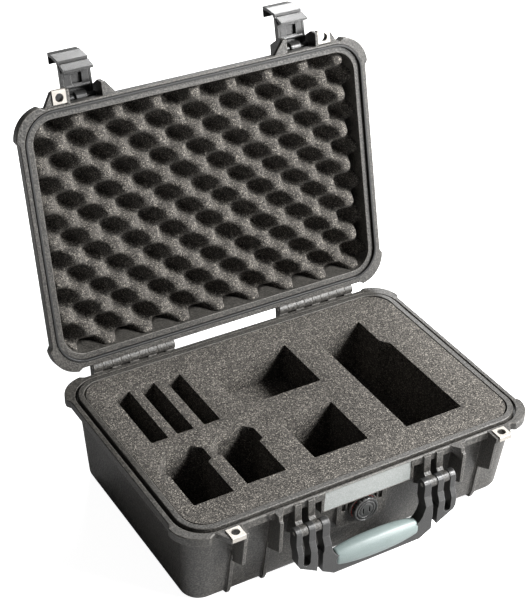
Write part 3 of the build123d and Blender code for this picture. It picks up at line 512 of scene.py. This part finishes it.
# ------------------------------------------------------------- convoluted foam
def make_convoluted_tree(material):
    """A drafted slab with rounded corners whose upper face is a staggered field of peaks."""
    tree = bpy.data.node_groups.new("convoluted_foam", "GeometryNodeTree")
    for title, usual in {
        "Face Length": 0.42,
        "Face Width": 0.28,
        "Back Length": 0.41,
        "Back Width": 0.27,
        "Thickness": 0.038,
        "Corner": 0.027,
        "Step": 0.0022,
        "Pitch Along": 0.05,
        "Pitch Down": 0.045,
        "Shift Along": 0.0,
        "Shift Down": 0.0,
        "Relief": 0.027,
        "Wander": 0.004,
    }.items():
        socket = tree.interface.new_socket(title, in_out="INPUT", socket_type=FLOAT)
        socket.default_value = usual
    tree.interface.new_socket("Geometry", in_out="OUTPUT", socket_type="NodeSocketGeometry")
    value = tree.nodes.new("NodeGroupInput").outputs
    result = tree.nodes.new("NodeGroupOutput")

    def calc(operation, first, second=0.0):
        return calculate(tree, operation, first, second)

    def steps(length):
        """How many points a side of this length takes."""
        return calc("ROUND", calc("DIVIDE", length, value["Step"]))

    size = tree.nodes.new("ShaderNodeCombineXYZ")
    feed(tree, size, X=value["Face Length"], Y=value["Face Width"], Z=value["Thickness"])
    block = tree.nodes.new("GeometryNodeMeshCube")
    feed(
        tree,
        block,
        Size=size.outputs[0],
        Vertices_X=steps(value["Face Length"]),
        Vertices_Y=steps(value["Face Width"]),
        Vertices_Z=9,
    )
    place = tree.nodes.new("GeometryNodeInputPosition")
    split = tree.nodes.new("ShaderNodeSeparateXYZ")
    tree.links.new(place.outputs[0], split.inputs[0])
    x, y, z = split.outputs

    # share of the height: 0 at the back and 1 at the face
    up = calc("ADD", calc("DIVIDE", z, value["Thickness"]), 0.5)

    def draft(back, face):
        """Size at this height as a share of the face's, from the back's share up to 1."""
        share = calc("DIVIDE", back, face)
        return calc("ADD", share, calc("MULTIPLY", up, calc("SUBTRACT", 1.0, share)))

    def straight_half(length):
        """Half a side, up to where its corner starts."""
        return calc("SUBTRACT", calc("MULTIPLY", length, 0.5), value["Corner"])

    def past(distance, straight):
        """How far a point is beyond the straight part of its side."""
        return calc("MAXIMUM", calc("SUBTRACT", calc("ABSOLUTE", distance), straight), 0.0)

    def drawn_in(distance, straight, over, factor):
        """A point's distance from the middle with the part beyond the straight drawn in."""
        inside = calc("MINIMUM", calc("ABSOLUTE", distance), straight)
        kept = calc("ADD", inside, calc("MULTIPLY", over, factor))
        return calc("MULTIPLY", calc("SIGN", distance), kept)

    # pull the four corners in to an arc
    nearly_nothing = 1e-6
    straight_x = straight_half(value["Face Length"])
    straight_y = straight_half(value["Face Width"])
    over_x = past(x, straight_x)
    over_y = past(y, straight_y)
    square_x = calc("MULTIPLY", over_x, over_x)
    square_y = calc("MULTIPLY", over_y, over_y)
    reach = calc("SQRT", calc("ADD", square_x, square_y))
    longer = calc("MAXIMUM", calc("MAXIMUM", over_x, over_y), nearly_nothing)
    pull = calc("DIVIDE", longer, calc("MAXIMUM", reach, nearly_nothing))
    beyond_x = calc("GREATER_THAN", over_x, 0.0)
    beyond_y = calc("GREATER_THAN", over_y, 0.0)
    in_corner = calc("MULTIPLY", beyond_x, beyond_y)
    on_side = calc("SUBTRACT", 1.0, in_corner)
    factor = calc("ADD", calc("MULTIPLY", in_corner, pull), on_side)
    kept_x = drawn_in(x, straight_x, over_x, factor)
    kept_y = drawn_in(y, straight_y, over_y, factor)

    # a slow wander so that no two peaks match exactly
    wander = tree.nodes.new("ShaderNodeTexNoise")
    feed(tree, wander, Scale=16.0, Detail=1.0)
    drift = tree.nodes.new("ShaderNodeSeparateXYZ")
    tree.links.new(wander.outputs["Color"], drift.inputs[0])

    def drifted(part, amount):
        """One part of the wander, from half the amount below nothing to half above."""
        return calc("MULTIPLY", calc("SUBTRACT", drift.outputs[part], 0.5), amount)

    def wave(distance, shift, wandered, pitch):
        """A cosine that runs along one side."""
        along = calc("ADD", calc("SUBTRACT", distance, shift), wandered)
        turns = calc("DIVIDE", along, pitch)
        return calc("COSINE", calc("MULTIPLY", turns, 2 * math.pi))

    move_x = drifted(0, value["Wander"])
    move_y = drifted(1, value["Wander"])
    taller = drifted(2, 0.1)
    wave_x = wave(kept_x, value["Shift Along"], move_x, value["Pitch Along"])
    wave_y = wave(kept_y, value["Shift Down"], move_y, value["Pitch Down"])
    staggered = calc("MULTIPLY", wave_x, wave_y)
    swell = calc("ADD", calc("MULTIPLY", staggered, 0.5), 0.5)

    # full, rounded peaks with steep sides
    squared = calc("MULTIPLY", swell, swell)
    steep = calc("MULTIPLY", squared, calc("SUBTRACT", 3.0, calc("MULTIPLY", swell, 2.0)))
    peak = calc("POWER", calc("MAXIMUM", steep, 0.0), 0.9)
    depth = calc("MULTIPLY", value["Relief"], calc("ADD", 0.95, taller))
    drop = calc("MULTIPLY", calc("SUBTRACT", 1.0, peak), depth)

    moved = tree.nodes.new("ShaderNodeCombineXYZ")
    feed(
        tree,
        moved,
        X=calc("MULTIPLY", kept_x, draft(value["Back Length"], value["Face Length"])),
        Y=calc("MULTIPLY", kept_y, draft(value["Back Width"], value["Face Width"])),
        Z=calc("SUBTRACT", z, calc("MULTIPLY", drop, up)),
    )
    shift = tree.nodes.new("GeometryNodeSetPosition")
    feed(tree, shift, Geometry=block.outputs["Mesh"], Position=moved.outputs[0])
    smooth = tree.nodes.new("GeometryNodeSetShadeSmooth")
    feed(tree, smooth, Geometry=shift.outputs[0])
    whole = tree.nodes.new("GeometryNodeRealizeInstances")
    feed(tree, whole, Geometry=smooth.outputs[0])
    paint = tree.nodes.new("GeometryNodeSetMaterial")
    feed(tree, paint, Geometry=whole.outputs[0], Material=material)
    tree.links.new(paint.outputs[0], result.inputs[0])
    return tree


def grow(tree, name, **sizes):
    """Runs a geometry tree with the named sizes and hands back a plain mesh."""
    host = put_in_scene(name + "_host", bpy.data.meshes.new(name + "_host"))
    run = host.modifiers.new("grow", "NODES")
    run.node_group = tree
    sockets = {
        item.name: item.identifier
        for item in tree.interface.items_tree
        if item.in_out == "INPUT"
    }
    for title, size in sizes.items():
        run[sockets[title.replace("_", " ")]] = size
    mesh = finished_mesh(host)
    mesh.name = name
    host.modifiers.remove(run)
    bpy.data.objects.remove(host)
    return mesh


def spans(points):
    """How far a set of points reaches along X and along Y."""
    across = [point.x for point in points]
    along = [point.y for point in points]
    return max(across) - min(across), max(along) - min(along)


def make_peaked_foam():
    """The lid's convoluted foam, grown to fill the lid's foam block."""
    points = [shut_place @ vertex.co for vertex in nodes["lid_foam"].data.vertices]
    face_z = min(point.z for point in points)
    back_z = max(point.z for point in points)
    face_length, face_width = spans([p for p in points if p.z < face_z + 0.5 * MM])
    back_length, back_width = spans([p for p in points if p.z > back_z - 0.5 * MM])
    mesh = grow(
        make_convoluted_tree(finishes["foam"]),
        "peaked_foam",
        Face_Length=face_length,
        Face_Width=face_width,
        Back_Length=back_length,
        Back_Width=back_width,
        Thickness=back_z - face_z,
        Corner=27.0 * MM,
        Step=2.2 * MM,
        Pitch_Along=49.5 * MM,
        Pitch_Down=45.4 * MM,
        Shift_Along=-5.0 * MM,
        Shift_Down=-5.0 * MM,
        Relief=35.0 * MM,
        Wander=4.0 * MM,
    )
    # the peaks look down out of the shut lid
    upside_down = Matrix.Rotation(math.pi, 4, "X")
    in_shut_lid = Matrix.Translation((0, 0, (face_z + back_z) / 2))
    mesh.transform(lid_place @ in_shut_lid @ upside_down)
    new_piece("peaked_foam", mesh, finishes["foam"], "lid", "lid_foam")


make_peaked_foam()


# ------------------------------------------------------------------ hand grip
GRIP_RINGS = 64
GRIP_AROUND = 56
GRIP_SQUARENESS = 2.35
GRIP_END_SHARE = 0.68
GRIP_ROUNDED_LENGTH = 0.04


def squared_round(angle):
    """A point on a circle that is pushed a little towards a square."""
    power = 2 / GRIP_SQUARENESS
    across = math.copysign(abs(math.cos(angle)) ** power, math.cos(angle))
    tall = math.copysign(abs(math.sin(angle)) ** power, math.sin(angle))
    return across, tall


def grip_fullness(along):
    """Thickness of the grip at a place from -1 at one end to 1 at the other."""
    swell = GRIP_END_SHARE + (1 - GRIP_END_SHARE) * (1 - abs(along) ** 2.4)
    into_end = max(0.0, abs(along) - (1 - GRIP_ROUNDED_LENGTH)) / GRIP_ROUNDED_LENGTH
    return swell * math.sqrt(max(0.0, 1 - 0.25 * into_end * into_end))


def make_grip():
    """Soft sleeve, fuller in the middle, with rounded ends."""
    low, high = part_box("handle_grip")
    middle = (low + high) / 2
    half = (high - low) / 2
    work = bmesh.new()
    rings = []
    for i in range(GRIP_RINGS + 1):
        along = -1 + 2 * i / GRIP_RINGS
        fullness = grip_fullness(along)
        ring = []
        for j in range(GRIP_AROUND):
            across, tall = squared_round(2 * math.pi * j / GRIP_AROUND)
            point = (
                middle.x + half.x * along,
                middle.y + half.y * fullness * across,
                middle.z + half.z * fullness * tall,
            )
            ring.append(work.verts.new(point))
        rings.append(ring)
    for first, second in zip(rings, rings[1:]):
        for j in range(GRIP_AROUND):
            k = (j + 1) % GRIP_AROUND
            work.faces.new((first[j], first[k], second[k], second[j]))
    work.faces.new(list(reversed(rings[0])))
    work.faces.new(rings[-1])
    bmesh.ops.recalc_face_normals(work, faces=work.faces)
    mesh = bpy.data.meshes.new("grip_sleeve")
    work.to_mesh(mesh)
    work.free()
    mesh.shade_smooth()
    new_piece("grip_sleeve", mesh, finishes["grip"], "handle", "handle_grip")


make_grip()


# ------------------------------------------------------------- floor and light
def make_floor():
    """Plain pale floor that runs out of view."""
    reach = 14.0
    corners = [(-reach, -reach, 0), (reach, -reach, 0), (reach, reach, 0), (-reach, reach, 0)]
    mesh = bpy.data.meshes.new("floor")
    mesh.from_pydata(corners, [], [(0, 1, 2, 3)])
    floor = put_in_scene("floor", mesh)
    material, tree, shader = start_material("floor_paint")
    ray = tree.nodes.new("ShaderNodeLightPath")
    feed(
        tree,
        shader,
        Base_Color=(0.6, 0.6, 0.6, 1),
        Roughness=0.9,
        Emission_Color=(1, 1, 1, 1),
        Emission_Strength=calculate(tree, "MULTIPLY", ray.outputs["Is Camera Ray"], 0.95),
    )
    mesh.materials.append(material)


def make_lamp(name, place, aim, side, power):
    """Soft square lamp aimed at a point."""
    lamp = bpy.data.lights.new(name, "AREA")
    lamp.shape = "RECTANGLE"
    lamp.size = side
    lamp.size_y = side
    lamp.energy = power
    holder = put_in_scene(name, lamp)
    holder.location = place
    towards = Vector(aim) - Vector(place)
    holder.rotation_euler = towards.to_track_quat("-Z", "Y").to_euler()


def make_studio():
    """White surroundings, a high key and a low fill from the front right, and a sheen behind."""
    world = bpy.data.worlds.new("studio")
    bpy.context.scene.world = world
    world.use_nodes = True
    tree = world.node_tree
    ray = tree.nodes.new("ShaderNodeLightPath")
    # bright where it is seen, faint where it lights the case
    strength = spread(tree, ray.outputs["Is Camera Ray"], 0.0, 1.0, 0.08, 1.0)
    feed(tree, tree.nodes["Background"], Color=(1, 1, 1, 1), Strength=strength)
    make_lamp("key_lamp", (1.8, -1.1, 2.0), (0, 0, 0.15), 0.8, 215)
    make_lamp("front_lamp", (1.8, -2.2, 1.0), (0, 0, 0.1), 0.7, 85)
    make_lamp("sheen_lamp", (1.0, 1.7, 1.55), (0, 0, 0.25), 0.9, 42)
    bpy.context.scene.view_settings.view_transform = "Standard"


def make_camera():
    """Looks from the front left and above, a little rolled."""
    azimuth = math.radians(-31.375)
    elevation = math.radians(33.414)
    roll = math.radians(1.614)
    level = Vector((math.cos(azimuth), math.sin(azimuth), 0))
    back = Vector(
        (
            math.sin(azimuth) * math.cos(elevation),
            -math.cos(azimuth) * math.cos(elevation),
            math.sin(elevation),
        )
    )
    rise = back.cross(level)
    right = math.cos(roll) * level + math.sin(roll) * rise
    up = -math.sin(roll) * level + math.cos(roll) * rise
    turn = Matrix((right, up, back)).transposed().to_4x4()
    lens = bpy.data.cameras.new("camera")
    lens.sensor_fit = "AUTO"
    lens.sensor_width = 36.0
    lens.lens = 96.47
    lens.shift_x = 0.0052
    lens.shift_y = -0.0127
    lens.clip_start = 0.05
    lens.clip_end = 60.0
    camera = put_in_scene("camera", lens)
    camera.matrix_world = Matrix.Translation((-0.81206, -1.24793, 1.24528)) @ turn
    bpy.context.scene.camera = camera


make_floor()
make_studio()
make_camera()
